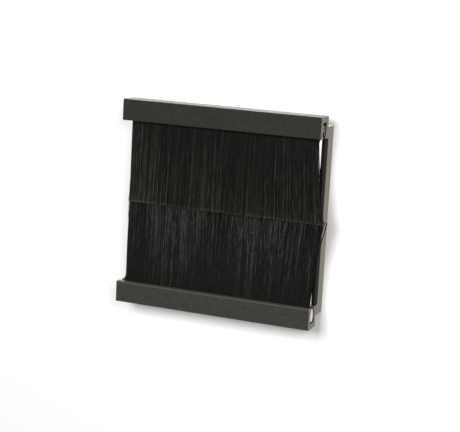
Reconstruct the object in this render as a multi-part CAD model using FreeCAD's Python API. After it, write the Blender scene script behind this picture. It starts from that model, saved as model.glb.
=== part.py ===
import FreeCAD, Part
import math
import os

# Brush wall plate: two extruded rails, one over the other, each hold a strip brush in their groove.
# The two fringes of bristles meet in the middle and a cable is pushed out between them.
# Behind the rails a folded frame stands the face off the wall and carries the fixing lugs.
# Axes: +X to the right, +Z up, the front looks along -Y. The wall is the plane Y = 0.
# The origin is the middle of the frame's back, halfway between the two wall screws. Millimetres.

# Rails
rail_length = 86.0
plate_height = 86.0
rail_depth = 8.8
rail_height = 8.8
rail_front_wall = 2.0
rail_rear_wall = 2.4
rail_web = 2.3
lip_thickness = 1.0
mouth_width = 2.9
rail_edge_radius = 0.45
groove_corner_radius = 0.3

# Strip brush: a folded steel channel that clamps the bristles round a core wire.
# The upper strip hangs on its rail's lips, the lower one sits deeper in its groove.
channel_clearance = 0.3
upper_back_gap = 1.3
lower_back_gap = 0.5
channel_sheet = 0.45
channel_throat = 3.4
channel_grip = 1.4
channel_end_gap = 0.3
end_tab_throat = 1.4
end_tab_grip = 0.5
wire_diameter = 1.0
wire_clearance = 0.15
loop_clearance = 0.25
core_end_gap = 0.15

# Bristles
root_inset = 1.6
fringe_left_inset = 2.7
upper_right_inset = 2.2
lower_right_inset = 1.6
root_draw = 2.0
upper_tip_height = 0.3
lower_tip_height = 1.5
upper_flare = 4.5
lower_flare = 4.0
upper_mid_flare = 1.8
lower_mid_flare = 0.8
flare_start = 0.35
upper_left_draw = 1.2
lower_left_draw = 0.4
upper_tip_lean = -2.4
lower_tip_lean = -0.3
tip_thickness = 1.8
strand_count = 72
strand_depth = 0.22
strand_wander = 0.3
tip_notch = 0.7

# Frame: smaller than the face by these insets at each side, and at its top and bottom
frame_side_inset = 0.8
frame_end_inset = 4.5
frame_depth = 7.5
frame_sheet = 1.0
frame_corner_radius = 0.3
bend_radius = 0.4
flange_height = 4.2
flange_end_gap = 3.0
ear_width = 10.0
ear_drop = 1.2

# Wall fixing: two screws on the level line through the middle
fixing_spacing = 60.3
fixing_hole = 4.0
lug_height = 16.0
lug_end_margin = 6.25
lug_corner_radius = 3.0

# Screws that hold the rails to the frame's ears
screw_spacing = 44.0
screw_diameter = 1.6
screw_hole_clearance = 0.05
screw_length = 3.0
screw_head_diameter = 3.0
screw_head_height = 1.0
screw_rim_bevel = 0.35
screw_head_gap = 0.45
screw_recess_width = 0.4
screw_recess_length = 1.8
screw_recess_depth = 0.5
slot_clearance = 0.15
slot_length = 4.0

# Side cheeks: black strips let into the frame's side walls, which close the sides between the rails
cheek_thickness = 1.35
cheek_reach = 3.0
cheek_seat = 1.2
cheek_end_gap = 0.3
cheek_seat_gap = 0.1
cheek_edge_radius = 0.3
cheek_tab_count = 3
cheek_tab_spacing = 16.0
cheek_tab_height = 8.0
cheek_tab_thickness = 1.2
cheek_tab_length = 4.5

# Two places nearer to each other than this count as the same
same_place = 0.001

# Sizes and places that follow. The rails sit to the left of the frame's middle, as far as its
# slots let them, so that they end flush with it on the right.
frame_width = rail_length - 2 * frame_side_inset
frame_height = plate_height - 2 * frame_end_inset
rail_shift = -frame_side_inset
y_frame_front = -frame_depth
y_front = y_frame_front - rail_depth
z_outer = plate_height / 2
z_mouth = z_outer - rail_height
groove_width = rail_depth - rail_front_wall - rail_rear_wall
groove_middle = rail_front_wall + groove_width / 2
rail_left = rail_shift - rail_length / 2
channel_radius = groove_width / 2 - channel_clearance
leg_end = rail_height - lip_thickness
channel_left = rail_left + channel_end_gap
channel_length = rail_length - 2 * channel_end_gap
upper_core_inset = core_end_gap
lower_core_inset = channel_sheet + core_end_gap
pack_thickness = channel_throat - 2 * channel_sheet
fringe_left = rail_left + fringe_left_inset
z_screw = frame_height / 2 - frame_sheet - screw_head_diameter / 2 - screw_head_gap


def vector(x, y, z):
    return FreeCAD.Vector(x, y, z)


def place(x, depth, height):
    """A point by its depth behind the rails' front and its height below the plate's top."""
    return vector(x, y_front + depth, z_outer - height)


def mirrored(shape):
    """The same piece for the lower rail."""
    return shape.mirror(vector(0, 0, 0), vector(0, 0, 1))


def box(x0, x1, y0, y1, z0, z1):
    return Part.makeBox(x1 - x0, y1 - y0, z1 - z0, vector(x0, y0, z0))


def section_bar(profile, x0, length):
    """A bar along X from a closed profile of (depth, height) corners."""
    corners = [place(x0, depth, height) for depth, height in profile]
    face = Part.Face(Part.makePolygon(corners + corners[:1]))
    return face.extrude(vector(length, 0, 0))


def long_edges(shape, y, z):
    """The edges that run along X through the point y, z."""
    found = []
    for edge in shape.Edges:
        middle = edge.CenterOfMass
        along_x = abs(edge.Vertexes[0].X - edge.Vertexes[-1].X) > rail_length / 2
        if along_x and abs(middle.y - y) < same_place and abs(middle.z - z) < same_place:
            found.append(edge)
    return found


def screw_positions():
    """The middles of the rail screws along X."""
    return [rail_shift - screw_spacing / 2, rail_shift + screw_spacing / 2]


def upper_rail():
    """The extrusion: a C whose mouth looks down, with lips that hold the strip brush."""
    outside = [(0, 0), (rail_depth, 0), (rail_depth, rail_height), (0, rail_height)]
    groove_back = rail_depth - rail_rear_wall
    groove = [(rail_front_wall, rail_web), (groove_back, rail_web), (groove_back, leg_end),
              (rail_front_wall, leg_end)]
    mouth_front = groove_middle - mouth_width / 2
    mouth_back = groove_middle + mouth_width / 2
    mouth = [(mouth_front, leg_end - lip_thickness), (mouth_back, leg_end - lip_thickness),
             (mouth_back, rail_height + lip_thickness), (mouth_front, rail_height + lip_thickness)]
    rail = section_bar(outside, rail_left, rail_length)
    rail = rail.cut(section_bar(groove, rail_left, rail_length))
    rail = rail.cut(section_bar(mouth, rail_left, rail_length))
    for depth, height, radius in (
            (0, 0, rail_edge_radius), (0, rail_height, rail_edge_radius),
            (rail_front_wall, rail_web, groove_corner_radius),
            (groove_back, rail_web, groove_corner_radius)):
        corner = place(0, depth, height)
        rail = rail.makeFillet(radius, long_edges(rail, corner.y, corner.z))
    hole_radius = screw_diameter / 2 + screw_hole_clearance
    for x in screw_positions():
        start = vector(x, y_frame_front, z_screw)
        rail = rail.cut(Part.makeCylinder(hole_radius, rail_rear_wall, start, vector(0, -1, 0)))
    return rail


def strip_centre(back_gap):
    """The height of the strip's round back, behind which the groove has this gap."""
    return rail_web + back_gap + channel_radius


def keyhole_wire(x, centre, radius, half_throat, grip):
    """The teardrop outline of the strip: a round back, and legs that close in to the throat."""
    leg_top = leg_end - grip

    def at(depth_offset, height):
        return place(x, groove_middle + depth_offset, height)

    back = Part.Arc(at(radius, centre), at(0, centre - radius), at(-radius, centre))
    legs = [at(-radius, centre), at(-half_throat, leg_top), at(-half_throat, leg_end),
            at(half_throat, leg_end), at(half_throat, leg_top), at(radius, centre)]
    lines = [Part.makeLine(start, end) for start, end in zip(legs, legs[1:])]
    return Part.Wire([back.toShape()] + lines)


def keyhole_bar(x, length, centre, radius, half_throat, grip):
    outline = keyhole_wire(x, centre, radius, half_throat, grip)
    return Part.Face(outline).extrude(vector(length, 0, 0))


def strip_channel(centre):
    """The folded steel back of the strip, open at its ends, clamped on the bristles."""
    half_throat = channel_throat / 2
    half_pack = pack_thickness / 2
    inner_radius = channel_radius - channel_sheet
    outside = keyhole_bar(channel_left, channel_length, centre, channel_radius, half_throat, channel_grip)
    inside = keyhole_bar(channel_left, channel_length, centre, inner_radius, half_pack, channel_grip)
    return outside.cut(inside)


def closed_strip_channel(centre):
    """The same channel with its ends folded over the bristles as narrow tabs."""
    channel = strip_channel(centre)
    for x in (channel_left, channel_left + channel_length - channel_sheet):
        tab = keyhole_bar(x, channel_sheet, centre, channel_radius, end_tab_throat / 2, end_tab_grip)
        channel = channel.fuse(tab)
    return channel.removeSplitter()


def core_wire(centre, end_inset):
    """The wire that the bristles are looped over, inside the channel's round back."""
    start = place(channel_left + end_inset, groove_middle, centre)
    core_length = channel_length - 2 * end_inset
    return Part.makeCylinder(wire_diameter / 2, core_length, start, vector(1, 0, 0))


def looped_bristles(centre, end_inset):
    """The bristles inside the channel, bent round the wire."""
    core_left = channel_left + end_inset
    core_length = channel_length - 2 * end_inset
    loop_radius = channel_radius - channel_sheet - loop_clearance
    loop = keyhole_bar(core_left, core_length, centre, loop_radius, pack_thickness / 2, channel_grip)
    start = place(core_left, groove_middle, centre)
    bore = Part.makeCylinder(wire_diameter / 2 + wire_clearance, core_length, start, vector(1, 0, 0))
    return loop.cut(bore)


def scatter(index, salt):
    """A repeatable number from -1 to 1 that varies without a pattern."""
    value = math.sin(index * 12.9898 + salt * 78.233) * 43758.5453
    return 2 * (value - math.floor(value)) - 1


def root_bristles(right_inset):
    """The foot of the fringe, which draws in from the strip's length to the fringe's width."""
    wires = []
    front = groove_middle - pack_thickness / 2
    back = groove_middle + pack_thickness / 2
    drawn_in = rail_height + root_draw
    for left_inset, far_inset, height in (
            (root_inset, root_inset, leg_end), (root_inset, root_inset, rail_height),
            (fringe_left_inset, right_inset, drawn_in)):
        left = rail_left + left_inset
        right = rail_left + rail_length - far_inset
        corners = [place(left, front, height), place(right, front, height),
                   place(right, back, height), place(left, back, height)]
        wires.append(Part.makePolygon(corners + corners[:1]))
    return Part.makeLoft(wires, True, True)


def strand_section(height, lean, thickness, right_inset, flare, draw, salt):
    """A cross-section of the fringe: a row of strands along its front, and another along its back."""
    steps = 2 * strand_count
    fringe_width = rail_length - fringe_left_inset - right_inset
    pitch = fringe_width / steps
    front = []
    back = []
    for step in range(steps + 1):
        share = step / steps
        inner = 0 < step < steps
        wander = strand_wander * pitch * scatter(step, salt) if inner else 0
        spread = flare * max(0, (share - flare_start) / (1 - flare_start)) ** 2
        x = fringe_left + share * fringe_width + wander + spread + draw * (1 - share)
        valley = strand_depth * (1 + scatter(step, salt + 1) / 2) if step % 2 else 0
        front.append(place(x, groove_middle + lean - thickness / 2 + valley, height))
        back.append(place(x, groove_middle + lean + thickness / 2 - valley, height))
    corners = front + back[::-1]
    return Part.makePolygon(corners + corners[:1])


def tip_trim(tip_height, salt):
    """A sheet with one ragged edge, as thick as the plate, that leaves the strands' uneven tips."""
    overhang = rail_depth
    left = rail_left - overhang
    right = rail_left + rail_length + overhang
    teeth = 2 * strand_count
    edge = []
    for step in range(teeth + 1):
        share = step / teeth
        notch = tip_notch * (0.5 + scatter(step, salt) / 2) * (step % 2)
        edge.append(vector(left + share * (right - left), y_front - overhang, tip_height + notch))
    top = z_outer
    corners = edge + [vector(right, y_front - overhang, top), vector(left, y_front - overhang, top)]
    face = Part.Face(Part.makePolygon(corners + corners[:1]))
    return face.extrude(vector(0, rail_depth + 2 * overhang, 0))


def bristles(core, tip_height, lean, right_inset, mid_flare, flare, draw, salt):
    """One fringe that hangs from the upper rail, with its looped core."""
    reach = z_outer - tip_height + tip_notch
    middle = (leg_end + reach) / 2
    middle_thickness = (pack_thickness + tip_thickness) / 2
    root = strand_section(leg_end, 0, pack_thickness, right_inset, 0, 0, salt)
    bent = strand_section(middle, lean / 2, middle_thickness, right_inset, mid_flare, draw / 2, salt)
    tips = strand_section(reach, lean, tip_thickness, right_inset, flare, draw, salt)
    fringe = Part.makeLoft([root, bent, tips], True, True)
    fringe = fringe.common(tip_trim(tip_height, salt + 2))
    return core.fuse([root_bristles(right_inset), fringe]).removeSplitter()


def upper_bristles():
    core = looped_bristles(strip_centre(upper_back_gap), upper_core_inset)
    return bristles(core, upper_tip_height, upper_tip_lean, upper_right_inset,
                    upper_mid_flare, upper_flare, upper_left_draw, 1)


def lower_bristles():
    """Stands up from the lower rail and passes behind the upper fringe."""
    core = looped_bristles(strip_centre(lower_back_gap), lower_core_inset)
    return mirrored(bristles(core, -lower_tip_height, lower_tip_lean, lower_right_inset,
                             lower_mid_flare, lower_flare, lower_left_draw, 7))


def rounded_block(half_width, half_height, radius, y0, y1):
    """A flat-ended block with rounded upright corners, seen from the front."""
    block = box(-half_width, half_width, y0, y1, -half_height, half_height)
    corner_edges = []
    for edge in block.Edges:
        if abs(edge.Vertexes[0].Y - edge.Vertexes[-1].Y) > frame_sheet:
            corner_edges.append(edge)
    return block.makeFillet(radius, corner_edges)


def folded_profile(start, corner, end, inner_radius):
    """The two sides of a sheet that is folded once, from start over corner to end, by frame_sheet."""
    outer_radius = inner_radius + frame_sheet
    first = (corner - start).normalize()
    second = (end - corner).normalize()
    outer_in = corner - first * outer_radius
    outer_out = corner + second * outer_radius
    centre = outer_in + second * outer_radius
    towards = (corner - centre).normalize()
    outer_arc = Part.Arc(outer_in, centre + towards * outer_radius, outer_out)
    inner_in = outer_in + second * frame_sheet
    inner_out = outer_out - first * frame_sheet
    inner_arc = Part.Arc(inner_out, centre + towards * inner_radius, inner_in)
    start_inner = start + second * frame_sheet
    end_inner = end - first * frame_sheet
    edges = [Part.makeLine(start, outer_in), outer_arc.toShape(), Part.makeLine(outer_out, end),
             Part.makeLine(end, end_inner), Part.makeLine(end_inner, inner_out), inner_arc.toShape(),
             Part.makeLine(inner_in, start_inner), Part.makeLine(start_inner, start)]
    return Part.Face(Part.Wire(edges))


def rail_flange():
    """The frame's top wall with its front flange folded down, and two ears for the rail screws."""
    half_length = frame_width / 2 - flange_end_gap
    top = frame_height / 2
    start = vector(-half_length, 0, top)
    corner = vector(-half_length, y_frame_front, top)
    end = vector(-half_length, y_frame_front, top - flange_height)
    flange = folded_profile(start, corner, end, bend_radius).extrude(vector(2 * half_length, 0, 0))
    y_inner = y_frame_front + frame_sheet
    for side in (-1, 1):
        middle = side * screw_spacing / 2
        ear = box(middle - ear_width / 2, middle + ear_width / 2, y_frame_front, y_inner,
                  top - flange_height - ear_drop, top - flange_height + ear_drop)
        flange = flange.fuse(ear)
    for side in (-1, 1):
        flange = flange.cut(slot_cutter(side * screw_spacing / 2))
    return flange.removeSplitter()


def slot_cutter(middle):
    """A level slot through an ear, in which the rail can be set a little sideways."""
    radius = screw_diameter / 2 + slot_clearance
    reach = slot_length / 2 - radius
    y0 = y_frame_front - frame_sheet
    depth = 3 * frame_sheet
    cutter = box(middle - reach, middle + reach, y0, y0 + depth, z_screw - radius, z_screw + radius)
    for x in (middle - reach, middle + reach):
        cutter = cutter.fuse(Part.makeCylinder(radius, depth, vector(x, y0, z_screw), vector(0, 1, 0)))
    return cutter


def wall_lug():
    """A plate against the wall, joined to the right side wall's inside, with its screw hole."""
    half_height = lug_height / 2
    free_end = fixing_spacing / 2 - lug_end_margin
    joined_end = frame_width / 2 - frame_sheet / 2
    lug = box(free_end, joined_end, -frame_sheet, 0, -half_height, half_height)
    tip_edges = []
    for edge in lug.Edges:
        level = abs(edge.Vertexes[0].Y - edge.Vertexes[-1].Y) > frame_sheet / 2
        if level and abs(edge.CenterOfMass.x - free_end) < same_place:
            tip_edges.append(edge)
    lug = lug.makeFillet(lug_corner_radius, tip_edges)
    hole_start = vector(fixing_spacing / 2, -2 * frame_sheet, 0)
    return lug.cut(Part.makeCylinder(fixing_hole / 2, 3 * frame_sheet, hole_start, vector(0, 1, 0)))


def rear_frame():
    """A ring of sheet on edge, with flanges for the rails and lugs for the wall screws."""
    half_width = frame_width / 2
    half_height = frame_height / 2
    ring = rounded_block(half_width, half_height, frame_corner_radius, y_frame_front, 0)
    ring = ring.cut(box(frame_sheet - half_width, half_width - frame_sheet, y_frame_front, 0,
                        frame_sheet - half_height, half_height - frame_sheet))
    flange_half = half_width - flange_end_gap
    ring = ring.cut(box(-flange_half, flange_half, y_frame_front, 0, -half_height, half_height))
    seat_half = z_mouth - cheek_end_gap + cheek_seat_gap
    ring = ring.cut(box(-half_width, half_width, y_frame_front, y_frame_front + cheek_seat,
                        -seat_half, seat_half))
    flange = rail_flange()
    lug = wall_lug()
    left_lug = lug.mirror(vector(0, 0, 0), vector(1, 0, 0))
    return ring.fuse([flange, mirrored(flange), lug, left_lug]).removeSplitter()


def rail_screw(x):
    """A small pan-head screw put in from behind, through the ear into the rail's rear wall."""
    seat = vector(x, y_frame_front + frame_sheet, z_screw)
    top = seat.y + screw_head_height
    shank = Part.makeCylinder(screw_diameter / 2, screw_length, seat, vector(0, -1, 0))
    head = Part.makeCylinder(screw_head_diameter / 2, screw_head_height, seat, vector(0, 1, 0))
    rim = []
    for edge in head.Edges:
        if edge.Closed and abs(edge.CenterOfMass.y - top) < same_place:
            rim.append(edge)
    head = head.makeChamfer(screw_rim_bevel, rim)
    half_long = screw_recess_length / 2
    half_wide = screw_recess_width / 2
    for half_x, half_z in ((half_long, half_wide), (half_wide, half_long)):
        slot = box(x - half_x, x + half_x, top - screw_recess_depth, top + screw_head_height,
                   z_screw - half_z, z_screw + half_z)
        head = head.cut(slot)
    return head.fuse(shank).removeSplitter()


def right_cheek():
    """A black strip on the side wall's front edge, with tabs that lie inside the wall."""
    outside = frame_width / 2
    inside = outside - cheek_thickness
    half_height = z_mouth - cheek_end_gap
    y_cheek_front = y_frame_front - cheek_reach
    y_cheek_back = y_frame_front + cheek_seat
    cheek = box(inside, outside, y_cheek_front, y_cheek_back, -half_height, half_height)
    front_edges = []
    for edge in cheek.Edges:
        upright = abs(edge.Vertexes[0].Z - edge.Vertexes[-1].Z) > half_height
        if upright and abs(edge.CenterOfMass.y - y_cheek_front) < same_place:
            front_edges.append(edge)
    cheek = cheek.makeFillet(cheek_edge_radius, front_edges)
    tab_outside = outside - frame_sheet
    tab_inside = tab_outside - cheek_tab_thickness
    tab_back = y_frame_front + cheek_tab_length
    for index in range(cheek_tab_count):
        middle = (index - (cheek_tab_count - 1) / 2) * cheek_tab_spacing
        bottom = middle - cheek_tab_height / 2
        tab = box(tab_inside, tab_outside, y_frame_front, tab_back, bottom, bottom + cheek_tab_height)
        cheek = cheek.fuse(tab)
    return cheek.removeSplitter()


def build():
    """Every piece by its name."""
    rail = upper_rail()
    cheek = right_cheek()
    upper_centre = strip_centre(upper_back_gap)
    lower_centre = strip_centre(lower_back_gap)
    pieces = {
        "top_rail": rail,
        "bottom_rail": mirrored(rail),
        "upper_strip_channel": strip_channel(upper_centre),
        "lower_strip_channel": mirrored(closed_strip_channel(lower_centre)),
        "upper_core_wire": core_wire(upper_centre, upper_core_inset),
        "lower_core_wire": mirrored(core_wire(lower_centre, lower_core_inset)),
        "upper_bristles": upper_bristles(),
        "lower_bristles": lower_bristles(),
        "rear_frame": rear_frame(),
        "right_cheek": cheek,
        "left_cheek": cheek.mirror(vector(0, 0, 0), vector(1, 0, 0)),
    }
    for side, x in zip(("left", "right"), screw_positions()):
        screw = rail_screw(x)
        pieces["top_" + side + "_rail_screw"] = screw
        pieces["bottom_" + side + "_rail_screw"] = mirrored(screw)
    return pieces


os.makedirs("parts", exist_ok=True)
for name, shape in build().items():
    shape.exportStep("parts/" + name + ".step")
    print(name, len(shape.Solids), "solid", round(shape.Volume, 1), "cubic mm")
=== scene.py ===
# %% [markdown]
# # A brush wall plate
# The object is a wall plate 86 mm square that lets cables through a wall and keeps the draught out.
# Two aluminium rails each hold a strip brush in their groove. The fringes of black nylon bristles
# meet in the middle, and a light metal frame behind them stands the plate off the wall.
# The CAD model already has every solid piece in its place. This lesson gives the metal and plastic
# pieces their finish, makes the bristles one by one, and sets the camera and the light.

# %% Load the CAD model
import bpy
import math
import numpy as np
from mathutils import Matrix, Vector


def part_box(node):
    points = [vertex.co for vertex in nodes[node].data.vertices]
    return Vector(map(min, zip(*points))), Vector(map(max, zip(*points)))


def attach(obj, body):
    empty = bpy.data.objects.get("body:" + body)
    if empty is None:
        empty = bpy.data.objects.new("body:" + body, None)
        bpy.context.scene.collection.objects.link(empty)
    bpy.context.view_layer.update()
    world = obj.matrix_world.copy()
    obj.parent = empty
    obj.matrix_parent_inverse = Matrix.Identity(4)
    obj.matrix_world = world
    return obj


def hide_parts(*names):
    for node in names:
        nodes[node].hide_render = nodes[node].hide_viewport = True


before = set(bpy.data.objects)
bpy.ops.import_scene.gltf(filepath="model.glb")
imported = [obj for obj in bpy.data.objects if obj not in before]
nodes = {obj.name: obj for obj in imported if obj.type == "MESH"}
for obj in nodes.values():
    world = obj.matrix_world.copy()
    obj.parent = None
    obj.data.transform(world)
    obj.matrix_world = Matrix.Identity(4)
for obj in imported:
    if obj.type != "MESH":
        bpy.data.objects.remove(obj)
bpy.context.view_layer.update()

# %% [markdown]
# ## Camera
# A photograph tells where it was taken from, if the real size of something in it is known.
# Here the corners of the two rails were measured in the picture, and the camera was solved from
# them: it stands about half a metre away, a little to the right, a little above, and slightly
# tilted. Three angles turn it, and three distances move it. With the angles, the three axes of the
# camera are worked out by hand: `back` points from the plate to the camera, `side` and `above` lie
# in the picture. Blender only needs those three axes and the place.

# %% The camera
MM = 0.001
PICTURE_WIDTH = 460
SENSOR = 36.0
FOCAL_PIXELS = 1301.28
TURN, RISE, TILT = 0.37010, 0.18780, 0.05510
SHIFT_SIDE, SHIFT_UP, DISTANCE = -6.318, 1.0826, 528.98
RAILS_MIDDLE = Vector((-0.8, -16.3, 0.0))

back = Vector((math.sin(TURN) * math.cos(RISE), -math.cos(TURN) * math.cos(RISE), math.sin(RISE)))
level_side = Vector((math.cos(TURN), math.sin(TURN), 0))
level_up = back.cross(level_side)
side = level_side * math.cos(TILT) + level_up * math.sin(TILT)
above = level_up * math.cos(TILT) - level_side * math.sin(TILT)
place = RAILS_MIDDLE - side * SHIFT_SIDE - above * SHIFT_UP + back * DISTANCE

lens = bpy.data.cameras.new("photo_lens")
lens.sensor_width = SENSOR
lens.lens = FOCAL_PIXELS / PICTURE_WIDTH * SENSOR
lens.clip_start, lens.clip_end = 0.01, 10.0
camera = bpy.data.objects.new("photo_camera", lens)
bpy.context.scene.collection.objects.link(camera)
turned = Matrix((side, above, back)).transposed().to_4x4()
camera.matrix_world = Matrix.Translation(place * MM) @ turned
bpy.context.scene.camera = camera
print("camera at", [round(v) for v in place], "mm, lens", round(lens.lens, 1), "mm")

# %% [markdown]
# ## Joining shader nodes
# Every finish below is a small network of shader nodes, and Blender's names for them are long. So a
# few helpers keep the cells short. `finish` starts a material and gives back its main shader. `node`
# adds one node and sets its values, and `wire` joins two sockets. `sum_of` does one sum on two
# values, `mixed` blends two colours by a factor, and `ramp` turns a value into a colour. They take
# anything that has a node tree, so the world can use them too.

# %% Helpers that join nodes
def finish(name):
    """A new material with its main shader."""
    material = bpy.data.materials.new(name)
    material.use_nodes = True
    return material, material.node_tree.nodes["Principled BSDF"]


def node(material, kind, **values):
    """One node. Values are the names of its inputs, with _ for a space, or its properties."""
    made = material.node_tree.nodes.new("ShaderNode" + kind)
    for name, value in values.items():
        label = name.replace("_", " ")
        if label in made.inputs:
            made.inputs[label].default_value = value
        else:
            setattr(made, name, value)
    return made


def wire(material, start, end):
    material.node_tree.links.new(start, end)


def sum_of(material, kind, first, second=0.0):
    """A sum on two inputs, each of them a socket or a number."""
    made = node(material, "Math", operation=kind)
    for slot, value in zip(made.inputs, (first, second)):
        if hasattr(value, "default_value"):
            wire(material, value, slot)
        else:
            slot.default_value = value
    return made.outputs["Value"]


def mixed(material, factor, first, second):
    """One colour or the other, by a factor. Each is a socket or three numbers."""
    made = node(material, "Mix", data_type="RGBA")
    wire(material, factor, made.inputs["Factor"])
    colours = [slot for slot in made.inputs if slot.type == "RGBA"]
    for slot, value in zip(colours, (first, second)):
        if hasattr(value, "default_value"):
            wire(material, value, slot)
        else:
            slot.default_value = (*value, 1)
    return [slot for slot in made.outputs if slot.type == "RGBA"][0]


def ramp(material, source, stops):
    """Turns a value into a colour by stops of (position, colour)."""
    made = node(material, "ValToRGB")
    band = made.color_ramp
    while len(band.elements) < len(stops):
        band.elements.new(0.5)
    for element, (position, colour) in zip(band.elements, stops):
        element.position = position
        element.color = (*colour, 1)
    wire(material, source, made.inputs["Fac"])
    return made.outputs["Color"]


def times(colour, factor):
    """A colour made lighter or darker."""
    return tuple(factor * value for value in colour)


print("helpers ready: finish, node, wire, sum_of, mixed, ramp, times")

# %% [markdown]
# ## Grain at a real scale
# No real surface has one even colour. Rolling, drawing, sawing and moulding all leave a grain, and
# noise stretched along one direction looks much like it. Positions are read in metres from the piece
# itself. So the grain keeps its real size on every piece and stays put when the camera moves.

# %% Helpers for grain
NOISE_LOW, NOISE_HIGH = 0.3, 0.7


def object_place(material):
    return node(material, "TexCoord").outputs["Object"]


def grain(material, stretch, detail=3.0):
    """Noise: stretch is how many times it changes in a metre along x, y and z."""
    scaled = node(material, "Mapping", Scale=stretch)
    wire(material, object_place(material), scaled.inputs["Vector"])
    noise = node(material, "TexNoise", Scale=1.0, Detail=detail, Roughness=0.6)
    wire(material, scaled.outputs["Vector"], noise.inputs["Vector"])
    return noise.outputs["Fac"]


def spread(material, source, low, high):
    """Most noise lies between 0.3 and 0.7. This turns it into a value from low to high."""
    made = node(material, "MapRange", From_Min=NOISE_LOW, From_Max=NOISE_HIGH, To_Min=low, To_Max=high)
    wire(material, source, made.inputs["Value"])
    return made.outputs["Result"]


def relief(material, shader, height, depth, strength, under=None):
    """A bump of the given depth in metres, on top of another one if there is one."""
    bump = node(material, "Bump", Strength=strength, Distance=depth)
    wire(material, height, bump.inputs["Height"])
    if under is not None:
        wire(material, under.outputs["Normal"], bump.inputs["Normal"])
    wire(material, bump.outputs["Normal"], shader.inputs["Normal"])
    return bump


def axis_of(material, axis):
    """How far a point lies along one axis, in metres."""
    parts = node(material, "SeparateXYZ")
    wire(material, object_place(material), parts.inputs["Vector"])
    return parts.outputs[axis]


def dress(material, slot, *names):
    """Puts a finish on CAD pieces."""
    for name in names:
        piece = nodes[name]
        piece.data.materials.clear()
        piece.data.materials.append(material)
    print(material.name, "on", ", ".join(names))


# %% [markdown]
# ## Rails
# The rails are extruded aluminium, coated a dark grey-green before they are cut to length. So the
# long faces are satin and dark, and the cut ends are bare metal. Two materials would need the faces
# of the solid to be sorted. One material does both more simply: it compares a point's place along
# the rail with the rail's ends.
#
# The coat has very fine lines along the rail, from the extrusion die, a soft cloudiness, and the
# speckle of fine powder. The cut ends show the short scratches of the saw. The two rails are lit
# and shaded copies of one coat: the lower rail's coat is painted paler, as painted light, and a pale
# line is painted along the front rim of its lip as a painted highlight.

# %% Coated rails with bare ends
MOUTH = 34.2
HIGHLIGHT_BAND = 0.45
END_BAND = 0.05
SAWN_DARK, SAWN_PALE = (0.215, 0.203, 0.166), (0.300, 0.284, 0.238)


def cut_end(material):
    """1 on the rails' sawn ends, 0 everywhere else."""
    low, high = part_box("top_rail")
    from_middle = sum_of(material, "SUBTRACT", axis_of(material, "X"), (low.x + high.x) / 2)
    reach = (high.x - low.x) / 2 - END_BAND * MM
    return sum_of(material, "GREATER_THAN", sum_of(material, "ABSOLUTE", from_middle), reach)


def coated_rail(name, dark, pale, lip_highlight):
    """Lip_highlight says how strong the painted highlight along the lip's rim is, from 0 to 1."""
    material, shader = finish(name)
    lines = grain(material, (40, 5200, 5200), detail=4)
    cloud = grain(material, (90, 260, 260), detail=2)
    peel = grain(material, (5200, 5200, 5200), detail=2)
    speckle = grain(material, (1500, 1500, 1500), detail=1)
    saw = grain(material, (400, 9000, 900), detail=3)

    coat = mixed(material, spread(material, cloud, 0.0, 1.0), dark, pale)
    coat = mixed(material, spread(material, lines, 0.0, 0.5), coat, times(pale, 1.5))
    coat = mixed(material, spread(material, speckle, 0.0, 0.6), coat, times(pale, 1.9))
    height = sum_of(material, "ABSOLUTE", axis_of(material, "Z"))
    # Painted highlight: a thin band on the lip's rim is painted paler.
    lip = sum_of(material, "LESS_THAN", height, (MOUTH + HIGHLIGHT_BAND) * MM)
    coat = mixed(material, sum_of(material, "MULTIPLY", lip, lip_highlight), coat, times(pale, 4.0))

    bare = cut_end(material)
    metal = mixed(material, spread(material, saw, 0.0, 1.0), SAWN_DARK, SAWN_PALE)
    wire(material, mixed(material, bare, coat, metal), shader.inputs["Base Color"])
    rough = sum_of(material, "ADD", spread(material, lines, 0.42, 0.55),
                   sum_of(material, "MULTIPLY", bare, 0.08))
    wire(material, rough, shader.inputs["Roughness"])
    wire(material, sum_of(material, "MULTIPLY", bare, 0.35), shader.inputs["Metallic"])
    shader.inputs["Specular IOR Level"].default_value = 0.10

    fine = relief(material, shader, lines, 0.004 * MM, 0.35)
    fine = relief(material, shader, peel, 0.006 * MM, 0.25, under=fine)
    relief(material, shader, saw, 0.02 * MM, 0.30, under=fine)
    return material


# Painted light: the bottom rail's coat is painted paler than the top rail's, though both are one coat.
dress(coated_rail("top_rail_finish", (0.0119, 0.0127, 0.0096), (0.0167, 0.0175, 0.0134), 0.0),
      "coated_rail", "top_rail")
dress(coated_rail("bottom_rail_painted_lighter", (0.0236, 0.0230, 0.0194), (0.0304, 0.0296, 0.0251), 0.45),
      "coated_rail", "bottom_rail")

# %% [markdown]
# ## Strip channels, core wires and screws
# The bristles are looped over a wire and clamped in a folded steel channel. Thin galvanised steel
# has a pale, slightly cloudy zinc skin, with rubbed lines along the fold. The two channels are lit
# and shaded copies of one zinc: the upper one is painted dark as painted shade, and the lower one is
# painted almost white as painted light. So one recipe takes two pairs of colours. Drawn wire and
# plated screws are close enough to use it too, with a smoother skin.

# %% Zinc and steel
def zinc_skin(name, pale, dark, rough):
    material, shader = finish(name)
    spangle = grain(material, (900, 900, 900), detail=2)
    rubbed = grain(material, (250, 4000, 4000), detail=3)
    colour = mixed(material, spread(material, spangle, 0.0, 1.0), dark, pale)
    wire(material, colour, shader.inputs["Base Color"])
    wire(material, spread(material, rubbed, rough - 0.08, rough + 0.10), shader.inputs["Roughness"])
    shader.inputs["Metallic"].default_value = 0.55
    relief(material, shader, rubbed, 0.01 * MM, 0.25)
    return material


# Painted shade on the upper channel and painted light on the lower one: one zinc in two colours.
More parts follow.
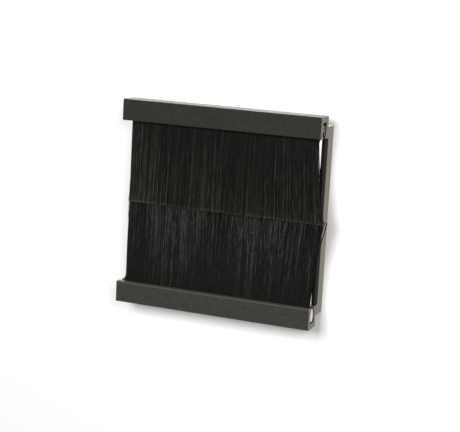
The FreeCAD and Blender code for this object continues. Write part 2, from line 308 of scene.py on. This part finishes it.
dress(zinc_skin("shaded_zinc_finish", (0.38, 0.35, 0.29), (0.22, 0.20, 0.165), 0.50),
      "strip_steel", "upper_strip_channel")
dress(zinc_skin("lit_zinc_finish", (0.98, 0.93, 0.82), (0.90, 0.85, 0.74), 0.45),
      "strip_steel", "lower_strip_channel")
dress(zinc_skin("drawn_wire_finish", (0.55, 0.53, 0.50), (0.40, 0.38, 0.36), 0.35),
      "wire_steel", "upper_core_wire", "lower_core_wire")
dress(zinc_skin("zinc_screw_finish", (0.60, 0.58, 0.54), (0.42, 0.40, 0.37), 0.34),
      "screw_steel", "top_left_rail_screw", "top_right_rail_screw",
      "bottom_left_rail_screw", "bottom_right_rail_screw")

# %% [markdown]
# ## Rear frame
# The frame is a strip of light metal sheet folded into a ring. It keeps the finish of the rolling
# mill: warm grey, with faint lines along the strip and a few dull clouds where hands and packing
# have touched it. The lines run along X on the top and bottom and along Z on the sides, so the noise
# is stretched along both and only changes quickly across the strip, which is along Y.

# %% Mill-finish frame
def mill_sheet():
    material, shader = finish("mill_frame_finish")
    rolled = grain(material, (60, 6000, 60), detail=4)
    clouds = grain(material, (120, 120, 120), detail=3)
    colour = mixed(material, spread(material, clouds, 0.0, 1.0),
                   (0.176, 0.155, 0.108), (0.230, 0.204, 0.145))
    colour = mixed(material, spread(material, rolled, 0.0, 0.45), colour, (0.256, 0.229, 0.169))
    wire(material, colour, shader.inputs["Base Color"])
    wire(material, spread(material, rolled, 0.40, 0.58), shader.inputs["Roughness"])
    shader.inputs["Metallic"].default_value = 0.35
    relief(material, shader, rolled, 0.01 * MM, 0.3)
    return material


dress(mill_sheet(), "frame_metal", "rear_frame")

# %% [markdown]
# ## Side cheeks
# The cheeks are strips of black moulded plastic. They are nearly black and dull, with a fine
# leathery grain from the mould, so that they don't shine beside the bristles.

# %% Black moulded cheeks
def moulded_black():
    material, shader = finish("moulded_cheek_finish")
    leather = grain(material, (2600, 2600, 2600), detail=4)
    worn = grain(material, (300, 300, 120), detail=2)
    colour = mixed(material, spread(material, worn, 0.0, 1.0),
                   (0.0028, 0.0024, 0.0019), (0.0060, 0.0052, 0.0042))
    wire(material, colour, shader.inputs["Base Color"])
    wire(material, spread(material, leather, 0.62, 0.82), shader.inputs["Roughness"])
    shader.inputs["Specular IOR Level"].default_value = 0.10
    relief(material, shader, leather, 0.03 * MM, 0.5)
    return material


dress(moulded_black(), "cheek_plastic", "left_cheek", "right_cheek")

# %% [markdown]
# ## Bristles
# Each fringe is thousands of nylon filaments, about a quarter of a millimetre thick. They come out of
# the channel close together, and their cut tips stand in a nearly straight line. A block with a
# striped picture on it would look flat from the side, and Blender's hair system is not kept in an
# exported model. So every filament here is its own thin tube with three sides. Smooth shading makes
# three sides look round at this size.
#
# The making is the same for both fringes: pick a root and a tip for each filament, bend the line
# between them a little, and wrap a tube round it. Filaments stick together in small tufts, so
# neighbours share a part of their bend. For that, `smooth_bands` gives a value that changes slowly
# along the rail. A repeatable random generator gives the same brush each time.

# %% Where the fringes lie, in millimetres
FRONT = -16.3
RAIL_LEFT, RAIL_LENGTH = -43.8, 86.0
GROOVE_MIDDLE = 4.2
GROOVE_Y = FRONT + GROOVE_MIDDLE
ROOT = MOUTH + 1.0
RIGHT_END = 0.96


def smooth_bands(seed, places, width):
    """A value from -1 to 1 for each place, which changes smoothly over about that many millimetres."""
    count = int(RAIL_LENGTH / width) + 4
    knots = np.random.default_rng(seed).uniform(-1, 1, count)
    at = (places - RAIL_LEFT) / width + 1
    low = np.clip(np.floor(at).astype(int), 0, count - 2)
    part = np.clip(at - low, 0, 1)
    part = part * part * (3 - 2 * part)
    return knots[low] * (1 - part) + knots[low + 1] * part


print("roots at", ROOT, "mm above and below the middle, in the groove at y", round(GROOVE_Y, 2), "mm")

# %% [markdown]
# ## Tubes
# A tube needs a ring of points at each step along its line. With all filaments held in one array of
# numbers, the whole fringe is made at once, which takes a second instead of minutes. Each point also
# keeps two numbers for the finish: how light its filament is there, called tone, and how far along
# the filament it lies, called along. The tubes of one fringe are then joined into one piece.

# %% Wrap tubes round many lines at once
TUBE_SIDES = 3
STEEP = 0.05


def tubes(name, lines, radii, tone, along):
    """One mesh of three-sided tubes. Lines has a row of points for each filament."""
    count, steps, _ = lines.shape
    forward = np.gradient(lines, axis=1)
    forward /= np.linalg.norm(forward, axis=2, keepdims=True)
    right = np.cross(forward, np.array([0.0, 1.0, 0.0]))
    size = np.linalg.norm(right, axis=2, keepdims=True)
    right = np.where(size > STEEP, right / np.maximum(size, STEEP), np.array([1.0, 0.0, 0.0]))
    front = np.cross(right, forward)
    turns = np.linspace(0, 2 * math.pi, TUBE_SIDES, endpoint=False) + math.pi / 2
    width = radii[:, :, None]
    rings = [lines + width * (right * math.cos(t) + front * math.sin(t)) for t in turns]
    points = np.stack(rings, axis=2).reshape(-1, 3) * MM

    first = (np.arange(count)[:, None] * steps + np.arange(steps - 1)) * TUBE_SIDES
    faces = []
    for corner in range(TUBE_SIDES):
        after = (corner + 1) % TUBE_SIDES
        face = [first + corner, first + after, first + TUBE_SIDES + after, first + TUBE_SIDES + corner]
        faces.append(np.stack(face, axis=2))
    sides = np.stack(faces, axis=2).reshape(-1, 4)

    mesh = bpy.data.meshes.new(name)
    mesh.from_pydata(points.tolist(), [], sides.tolist())
    mesh.polygons.foreach_set("use_smooth", np.ones(len(sides), bool))
    for label, value in (("tone", tone), ("along", along)):
        layer = mesh.attributes.new(label, "FLOAT", "POINT")
        layer.data.foreach_set("value", np.repeat(value.reshape(-1), TUBE_SIDES).astype(np.float32))
    mesh.update()
    return mesh


def joined(name, meshes, material):
    """Several meshes as one piece."""
    made = []
    for mesh in meshes:
        piece = bpy.data.objects.new(mesh.name, mesh)
        bpy.context.scene.collection.objects.link(piece)
        made.append(piece)
    with bpy.context.temp_override(active_object=made[0], selected_editable_objects=made):
        bpy.ops.object.join()
    piece = made[0]
    piece.name = name
    piece.data.name = name
    piece.data.materials.append(material)
    return piece


# %% [markdown]
# ## The finish of nylon
# Black nylon is dyed right through and shines a little along its length. The colour comes from the
# two numbers kept on the mesh. Most filaments are nearly black, and a few are painted paler as
# painted light, where they would turn to the light. A grain stretched along them paints glints that
# come and go along each one, and `calm_root` says how much less of those painted glints there is near
# the rail. The free ends look a little brown in the upper fringe and a little grey in the lower one.
# At the very tip, a small pale touch is a painted highlight. It is only a touch of colour where
# `along` is almost 1.

# %% Nylon
# The colour of the painted highlight at the filaments' tips.
TIP_HIGHLIGHT = (0.30, 0.28, 0.24)
PALE_LEVEL = 0.35


def nylon(name, dark, pale, tip_tint, shine, glint, glint_strength, calm_root, tip_highlight):
    """Glint is the length of a painted glint in millimetres, glint_strength how strong the glints are.
    """
    material, shader = finish(name)
    tone = node(material, "Attribute", attribute_name="tone").outputs["Fac"]
    along = node(material, "Attribute", attribute_name="along").outputs["Fac"]
    # Painted glints: this streak noise makes each filament lighter and darker along its length.
    streak = grain(material, (2400, 2400, 1000 / glint), detail=2)
    painted_glints = sum_of(material, "MULTIPLY", spread(material, streak, -glint_strength, 1.2 * glint_strength),
                    sum_of(material, "POWER", along, calm_root))
    level = sum_of(material, "MULTIPLY", tone, sum_of(material, "ADD", painted_glints, 1.0))
    colour = ramp(material, level, ((0.0, dark), (PALE_LEVEL, pale), (1.0, times(pale, 5.0))))

    near_tip = sum_of(material, "POWER", along, 2.5)
    colour = mixed(material, sum_of(material, "MULTIPLY", near_tip, level), colour, tip_tint)
    # Painted highlight: a pale touch of colour at the very tip of each filament.
    very_tip = sum_of(material, "MULTIPLY", sum_of(material, "POWER", along, 90.0), tip_highlight)
    colour = mixed(material, sum_of(material, "MULTIPLY", very_tip, level), colour, TIP_HIGHLIGHT)
    wire(material, colour, shader.inputs["Base Color"])
    wire(material, spread(material, streak, 0.38, 0.55), shader.inputs["Roughness"])
    shader.inputs["Specular IOR Level"].default_value = shine
    return material


upper_nylon = nylon("upper_nylon_painted_glints", (0.0006, 0.0006, 0.0004), (0.0214, 0.0216, 0.0189),
                    (0.0600, 0.0535, 0.0430), shine=0.04, glint=9.0, glint_strength=0.60, calm_root=0.2,
                    tip_highlight=0.65)
lower_nylon = nylon("lower_nylon_painted_glints", (0.0005, 0.0005, 0.0004), (0.0160, 0.0161, 0.0148),
                    (0.0700, 0.0700, 0.0630), shine=0.05, glint=3.3, glint_strength=0.90, calm_root=0.8,
                    tip_highlight=0.4)
print("finishes:", upper_nylon.name, lower_nylon.name)

# %% [markdown]
# ## Loops in the channel
# At the rails' open ends the picture shows how the strip is made: the filaments are bent over the
# core wire like a row of hairpins, and the channel holds them there. The loops are the same tubes
# on another line. They go up in front of the wire, over it in half a circle, and down behind it.
# Every fringe is first made as if it hangs from the upper rail, and the lower one is turned over.

# %% The loops round the core wire
TOP = 43.0
RAIL_WEB = 2.3
CHANNEL_RADIUS = 1.9
FILAMENT = 0.11
LOOP_COUNT = 620
BEND_STEPS = 6


def wire_loops(name, seed, back_gap, core_inset, turned_over):
    """Filaments bent over the wire inside the channel, side by side along the whole rail."""
    rng = np.random.default_rng(seed + 90)
    centre = TOP - RAIL_WEB - back_gap - CHANNEL_RADIUS
    low, high = RAIL_LEFT + core_inset, RAIL_LEFT + RAIL_LENGTH - core_inset
    x = low + (np.arange(LOOP_COUNT) + rng.uniform(0, 1, LOOP_COUNT)) / LOOP_COUNT * (high - low)
    radius = rng.uniform(0.76, 1.12, LOOP_COUNT)[:, None]
    turns = np.linspace(0, math.pi, BEND_STEPS)
    foot = np.full((LOOP_COUNT, 1), ROOT - centre)
    y = np.concatenate([-radius, -radius * np.cos(turns), radius], axis=1)
    z = np.concatenate([foot, radius * np.sin(turns), foot], axis=1)
    steps = BEND_STEPS + 2
    lean = rng.normal(0, 0.06, LOOP_COUNT)[:, None] * np.linspace(-1, 1, steps)[None, :]
    across = np.clip(x[:, None] + lean, low, high)
    lines = np.stack([across, GROOVE_Y + y, centre + z], axis=2)
    if turned_over:
        lines[:, :, 2] *= -1
    tone = np.repeat(rng.uniform(0.1, 0.5, LOOP_COUNT)[:, None], steps, axis=1)
    radii = np.full((LOOP_COUNT, steps), FILAMENT)
    return tubes(name, lines, radii, tone, np.zeros((LOOP_COUNT, steps)))


# %% [markdown]
# ## Where the tips go
# Roots stand evenly along the rail, but tips don't. The whole fringe drifts to the right, more and
# more towards its right end. On top of that come neighbours that stick together in tufts, slow
# sheaves of some millimetres, and each filament's own small error. Where the brush is loose that
# error is larger, and a few filaments stray wildly. Beyond the right end they can only stray
# outwards, as single dark hairs in front of the frame. `look` holds all these amounts for one fringe.

# %% Places of the tips along the rail
FLARE_START = 0.35
END_SHARE = 0.05
TUFT_WIDTH, SHEAF_WIDTH, COMB_WIDTH = 1.1, 6.0, 0.9
SHEAF_SWAY = 0.25
STRAY_SWAY, STRAY_LEAST, STRAY_MOST = 1.3, 0.3, 2.4


def tip_places(rng, seed, share, root_x, look):
    """Share is how far along the fringe a filament stands, from 0 to 1."""
    count = len(share)
    past_start = np.clip((share - FLARE_START) / (1 - FLARE_START), 0, None)
    drift = look["flare"] * past_start ** 2 + look["draw"] * (1 - share)
    inner = np.clip(np.minimum(share, 1 - share) / END_SHARE, 0, 1)
    tuft = look["tuft"] * inner * smooth_bands(seed, root_x, TUFT_WIDTH)
    sheaf = SHEAF_SWAY * inner * smooth_bands(seed + 1, root_x, SHEAF_WIDTH)
    own = (look["stray"] + look["loose"](share)) * rng.normal(0, 1, count)
    wild = rng.uniform(0, 1, count) < look["wild"](share)
    aside = rng.normal(0, STRAY_SWAY, count)
    outwards = np.clip(np.abs(aside), STRAY_LEAST, STRAY_MOST)
    aside = np.where(share > RIGHT_END, outwards, aside)
    return root_x + drift + tuft + sheaf + own + wild * aside


# %% [markdown]
# ## Lines of the filaments
# A filament leaves the channel at its foot, draws in to its root in the fringe within a few
# millimetres, and then swings out to its tip. `t` runs from 0 at the rail to 1 at the tip. Its steps
# are closer together near the rail, where the bend is sharpest. A slow wave of its own keeps each
# line from being quite straight. The fringe has a thickness too, which is called depth here: it runs
# from -0.5 at the front to 0.5 at the back.

# %% Lines of the filaments
FOOT_INSET = 1.6
DRAWN_IN = 3.0
PACK, TIP_PACK = 2.2, 1.5


def filament_lines(rng, seed, count, steps, depth_low, depth_high, look):
    """Lines for filaments whose depth in the brush lies between two shares of its thickness."""
    share = rng.permutation((np.arange(count) + rng.uniform(0, 1, count)) / count)
    depth = rng.uniform(depth_low, depth_high, count)
    foot_length = RAIL_LENGTH - look["left_foot"] - FOOT_INSET
    root_length = RAIL_LENGTH - look["left_inset"] - look["right_inset"]
    foot_x = RAIL_LEFT + look["left_foot"] + share * foot_length
    root_x = RAIL_LEFT + look["left_inset"] + share * root_length
    tip_x = tip_places(rng, seed, share, root_x, look)
    tip_z = look["tip"] + look["ragged"] * rng.uniform(0, 1, count) ** 3
    root_y = (GROOVE_Y + PACK * depth)[:, None]
    tip_y = (GROOVE_Y + look["lean"] + TIP_PACK * depth)[:, None]

    t = np.linspace(0, 1, steps)[None, :] ** 1.5
    down = (ROOT - tip_z)[:, None] * t
    drawn = np.clip(down / DRAWN_IN, 0, 1)
    wave = look["wave"] * (0.4 + 0.6 * rng.uniform(0, 1, count))
    wave = (wave + 0.8 * look["loose"](share) * rng.uniform(0, 1, count))[:, None]
    turn = rng.uniform(0, 2 * math.pi, count)[:, None]
    half_waves = rng.uniform(1.5, 4.0, count)[:, None]
    swing = np.sin(half_waves * math.pi * t + turn) - np.sin(turn) * (1 - t)
    sway = np.sin(half_waves * math.pi * t + turn + 1.3)
    grown = wave * t ** 0.7

    x = foot_x[:, None] + (root_x - foot_x)[:, None] * drawn
    x = x + (tip_x - root_x)[:, None] * t ** look["bend"] + grown * swing
    y = root_y + (tip_y - root_y) * t + 0.5 * grown * sway
    y = y + look["comb"] * smooth_bands(seed + 2, root_x, COMB_WIDTH)[:, None] * t
    return np.stack([x, y, ROOT - down], axis=2), share, root_x, t


# %% [markdown]
# ## How light each filament is
# A black brush shows its filaments by light and dark gaps between small clumps. Real gaps are
# narrower than a pixel of most pictures, so shadows alone can't show them. So the filaments are put
# in clumps less than half a millimetre wide, and every second clump is painted darker, by a random
# amount, as painted shade for those gaps. Tufts, sheaves and each filament's own chance are laid over
# that, and the bumps of `light` along the rail are painted light. Near the rail the brush is pressed
# together and looks even, so the tone starts there from a calm value and comes apart towards the tips.

# %% Tones of the filaments
CLUMP = 0.42
CLUMP_DRAWS = 400
MIDDLE_TONE = 0.15
TONE_TUFT_WIDTH, TONE_SHEAF_WIDTH = 1.3, 7.0


def fringe_tone(rng, seed, share, root_x, t, look):
    """A tone from 0 to 1 for each point of each filament."""
    clump = np.floor((root_x - RAIL_LEFT) / CLUMP).astype(int)
    strength = np.random.default_rng(seed + 3).uniform(0.2, 1.0, CLUMP_DRAWS)
    # Painted shade: every second clump is darker, for the shadowed gaps between clumps.
    in_turn = 1 - 2 * (clump % 2)
    tuft = smooth_bands(seed + 4, root_x, TONE_TUFT_WIDTH)
    sheaf = smooth_bands(seed + 5, root_x, TONE_SHEAF_WIDTH)
    own = rng.normal(0, look["own"], len(share))
    contrast = look["depth"] * strength[clump] * in_turn + 0.2 * tuft + 0.15 * sheaf + own
    free = MIDDLE_TONE * look["light"](share) * np.exp(contrast)
    calm, even = look["calm"], look["even"]
    apart = even + (1 - even) * t ** look["rise"]
    return np.clip(calm + (free[:, None] - calm) * apart, 0, 1)


# %% [markdown]
# ## One fringe
# Only the front and back filaments are ever seen. So each fringe has a front layer with many steps,
# a middle layer of fewer and thicker filaments that lets no light through, and a plainer back layer.
# That keeps the piece well under 200,000 triangles. Each part is given as the count of filaments,
# the steps along each, the depths it lies between and the radius.

# %% Make a whole fringe
TIP_TAPER = 0.72


def fringe(name, seed, look, material, parts, turned_over):
    meshes = []
    for index, (count, steps, low, high, radius) in enumerate(parts):
        rng = np.random.default_rng(seed + index)
        lines, share, root_x, t = filament_lines(rng, seed, count, steps, low, high, look)
        thickness = radius * rng.uniform(0.87, 1.15, count)[:, None]
        taper = np.linspace(1.0, TIP_TAPER, steps)[None, :]
        tone = fringe_tone(rng, seed, share, root_x, t, look)
        if turned_over:
            lines[:, :, 2] *= -1
        meshes.append(tubes(name, lines, thickness * taper, tone, np.broadcast_to(t, tone.shape)))
    meshes.append(wire_loops(name, seed, look["back_gap"], look["core_inset"], turned_over))
    piece = joined(name, meshes, material)
    triangles = sum(len(p.vertices) - 2 for p in piece.data.polygons)
    print(name, "filaments", sum(part[0] for part in parts), "triangles", triangles)
    return piece


# %% [markdown]
# ## The upper fringe
# The upper fringe hangs down and leans 2.4 mm to the front, so that its tips lie over the lower one.
# It is combed straight, and its left end is painted lighter, as painted light. Its look is kept in
# one table: lengths in millimetres first, then how uneven it is, then how light it is. `patches`
# gives a value along the rail with bumps round a few places, each with its middle, width and height.

# %% The upper fringe
def patches(share, low, places):
    """A base value with bumps round the given places along the rail."""
    value = np.full(share.shape, low)
    for middle, width, height in places:
        value = value + height * np.exp(-((share - middle) / width) ** 2)
    return value


upper_look = {
    "left_foot": 3.2, "left_inset": 3.5, "right_inset": 2.3, "back_gap": 1.3, "core_inset": 0.45,
    "bend": 1.3, "flare": 4.4, "draw": 0.35, "lean": -2.4, "tip": 0.3, "ragged": 0.6,
    "wave": 0.13, "stray": 0.17, "tuft": 0.30, "comb": 0.20,
    "loose": lambda share: 0.03 + 0.15 * (share > 0.95),
    "wild": lambda share: 0.01 + 0.05 * (share > RIGHT_END),
    "calm": 0.17, "even": 0.35, "rise": 1.0, "own": 0.40, "depth": 0.95,
    # Painted light: the left end of the upper fringe is made lighter.
    "light": lambda share: patches(share, 1.0, ((0.03, 0.05, 1.1),)),
}
upper_parts = ((1600, 8, -0.5, -0.30, FILAMENT), (800, 5, -0.30, 0.0, FILAMENT),
               (800, 5, -0.05, 0.05, 0.27), (900, 6, 0.30, 0.5, FILAMENT))
upper = fringe("upper_bristle_strands", 11, upper_look, upper_nylon, upper_parts, False)
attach(upper, "root")
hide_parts("upper_bristles")

# %% [markdown]
# ## The lower fringe
# The lower fringe stands up behind the upper one and is more tangled. In two patches, about a third
# and three quarters along, its filaments are loose and cross each other, and there they are also
# painted lighter, as painted light. Near its rail it is as calm as the upper one. Its right end has
# lost its hold a little, and a few hairs stand off there.

# %% The lower fringe
lower_look = {
    "left_foot": 1.6, "left_inset": 2.7, "right_inset": 1.2, "back_gap": 0.5, "core_inset": 0.95,
    "bend": 1.9, "flare": 2.9, "draw": 0.4, "lean": -0.3, "tip": -1.5, "ragged": 1.2,
    "wave": 0.15, "stray": 0.15, "tuft": 0.30, "comb": 0.22,
    "loose": lambda share: patches(share, 0.08, (
        (0.30, 0.07, 0.65), (0.72, 0.12, 0.70), (0.97, 0.03, 0.4))),
    "wild": lambda share: patches(share, 0.02, (
        (0.30, 0.07, 0.16), (0.72, 0.12, 0.22), (1.0, 0.02, 0.25))),
    "calm": 0.28, "even": 0.10, "rise": 2.0, "own": 0.70, "depth": 1.9,
    # Painted light: lighter tone in the loose patches and a few other places.
    "light": lambda share: patches(share, 0.52, (
        (0.15, 0.04, 0.5), (0.31, 0.07, 2.0), (0.66, 0.07, 1.1), (0.80, 0.06, 1.5))),
}
lower_parts = ((1650, 10, -0.5, -0.28, FILAMENT), (700, 5, -0.28, 0.0, FILAMENT),
               (800, 5, -0.05, 0.05, 0.27), (800, 6, 0.30, 0.5, FILAMENT))
lower = fringe("lower_bristle_strands", 41, lower_look, lower_nylon, lower_parts, True)
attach(lower, "root")
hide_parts("lower_bristles")

# %% [markdown]
# ## Wall
# The plate hangs on a plain white wall, over the opening that the cables come through. Its soft
# shadow lies on the wall to the right and below. The wall's shader is plain white, with a little
# light of its own, so that it reaches white where no shadow falls. It is only there for the camera,
# and only from the front. All other rays pass through it, so that the back of the plate is lit as in
# a white room when it is looked at from behind.
#
# The wall is four flat pieces round the opening. Through the narrow slits beside the bristles the
# picture shows white, and without an opening the slits would show the dark shadow inside the frame.

# %% The wall
def white_wall():
    material = bpy.data.materials.new("wall_paint")
    material.use_nodes = True
    material.node_tree.nodes.clear()
    paint = node(material, "BsdfDiffuse", Color=(0.98, 0.98, 0.98, 1))
    glow = node(material, "Emission", Color=(1, 1, 1, 1), Strength=0.04)
    both = node(material, "AddShader")
    wire(material, paint.outputs[0], both.inputs[0])
    wire(material, glow.outputs[0], both.inputs[1])
    clear = node(material, "BsdfTransparent")
    seen = node(material, "MixShader")
    by_camera = node(material, "LightPath").outputs["Is Camera Ray"]
    from_front = sum_of(material, "SUBTRACT", 1.0, node(material, "NewGeometry").outputs["Backfacing"])
    wire(material, sum_of(material, "MULTIPLY", by_camera, from_front), seen.inputs[0])
    wire(material, clear.outputs[0], seen.inputs[1])
    wire(material, both.outputs[0], seen.inputs[2])
    output = node(material, "OutputMaterial")
    wire(material, seen.outputs[0], output.inputs["Surface"])
    return material


WALL_HALF = 1.2
WALL_GAP = 0.0003
OPENING_X, OPENING_Z = 0.0405, 0.0372
corner_signs = ((-1, -1), (1, -1), (1, 1), (-1, 1))
outer = [(x * WALL_HALF, WALL_GAP, z * WALL_HALF) for x, z in corner_signs]
inner = [(x * OPENING_X, WALL_GAP, z * OPENING_Z) for x, z in corner_signs]
wall_mesh = bpy.data.meshes.new("wall")
wall_faces = [(i, (i + 1) % 4, 4 + (i + 1) % 4, 4 + i) for i in range(4)]
wall_mesh.from_pydata(outer + inner, [], wall_faces)
wall_mesh.materials.append(white_wall())
wall = bpy.data.objects.new("wall", wall_mesh)
bpy.context.scene.collection.objects.link(wall)
print("wall", 2 * WALL_HALF, "m wide, opening", 2000 * OPENING_X, "x", 2000 * OPENING_Z, "mm")

# %% [markdown]
# ## The room
# The world is an even white. The camera and mirrored rays see it at full strength, so that the
# background is white and metal reflects a white room. As light it is much weaker, because an even
# light from all sides has no shadow. The lamps give the rest.

# %% The room
ROOM_LIGHT = 0.18
world = bpy.data.worlds.new("white_room")
world.use_nodes = True
bpy.context.scene.world = world
room = world.node_tree.nodes["Background"]
room.inputs["Color"].default_value = (1.0, 1.0, 1.0, 1)
path = node(world, "LightPath").outputs
looked_at = sum_of(world, "MAXIMUM", path["Is Camera Ray"], path["Is Glossy Ray"])
looked_at = sum_of(world, "MAXIMUM", looked_at, path["Is Transmission Ray"])
strength = node(world, "MapRange", To_Min=ROOM_LIGHT, To_Max=1.0)
wire(world, looked_at, strength.inputs["Value"])
wire(world, strength.outputs["Result"], room.inputs["Strength"])
print("room light", ROOM_LIGHT, "of white")

# %% [markdown]
# ## Lamps
# Four soft lamps light the plate. The key lamp stands high in front and throws the shadow down and a
# little to the right. The fill lamp stands to the right and softens it. The side lamp shines along
# the wall from the upper right onto the frame's side and the rails' cut ends, and more on their
# upper part, as in the picture. The back lamp is warm and only matters when the plate is seen from
# behind. A lamp's power is given in watts, so it is worked out from how bright a white surface at the
# plate should become.

# %% The lamps
def soft_lamp(name, place, size, brightness, tint=(1.0, 1.0, 1.0)):
    """A square lamp that faces the plate. Brightness 1 lights a white surface there as white."""
    lamp = bpy.data.lights.new(name, "AREA")
    lamp.shape = "SQUARE"
    lamp.size = size
    lamp.color = tint
    distance = Vector(place).length
    lamp.energy = brightness * math.pi * distance ** 2 * math.pi
    made = bpy.data.objects.new(name, lamp)
    made.location = place
    made.rotation_euler = (-Vector(place)).to_track_quat("-Z", "Y").to_euler()
    bpy.context.scene.collection.objects.link(made)
    print(name, round(lamp.energy, 2), "W at", round(distance, 2), "m")


soft_lamp("key_lamp", (-0.05, -1.00, 0.36), 0.34, 0.71)
soft_lamp("fill_lamp", (0.60, -1.00, 0.37), 0.34, 0.32)
soft_lamp("side_lamp", (0.26, 0.01, 0.28), 0.18, 0.22)
soft_lamp("back_lamp", (-0.45, 1.00, 0.20), 0.60, 0.42, (1.0, 0.97, 0.90))
bpy.context.scene.view_settings.view_transform = "Standard"

# %% [markdown]
# ## The last update
# The dressed plate has to stay inside the CAD model's box, apart from a few stray hairs. The last
# line brings the scene up to date.

# %% Finish
bpy.context.view_layer.update()
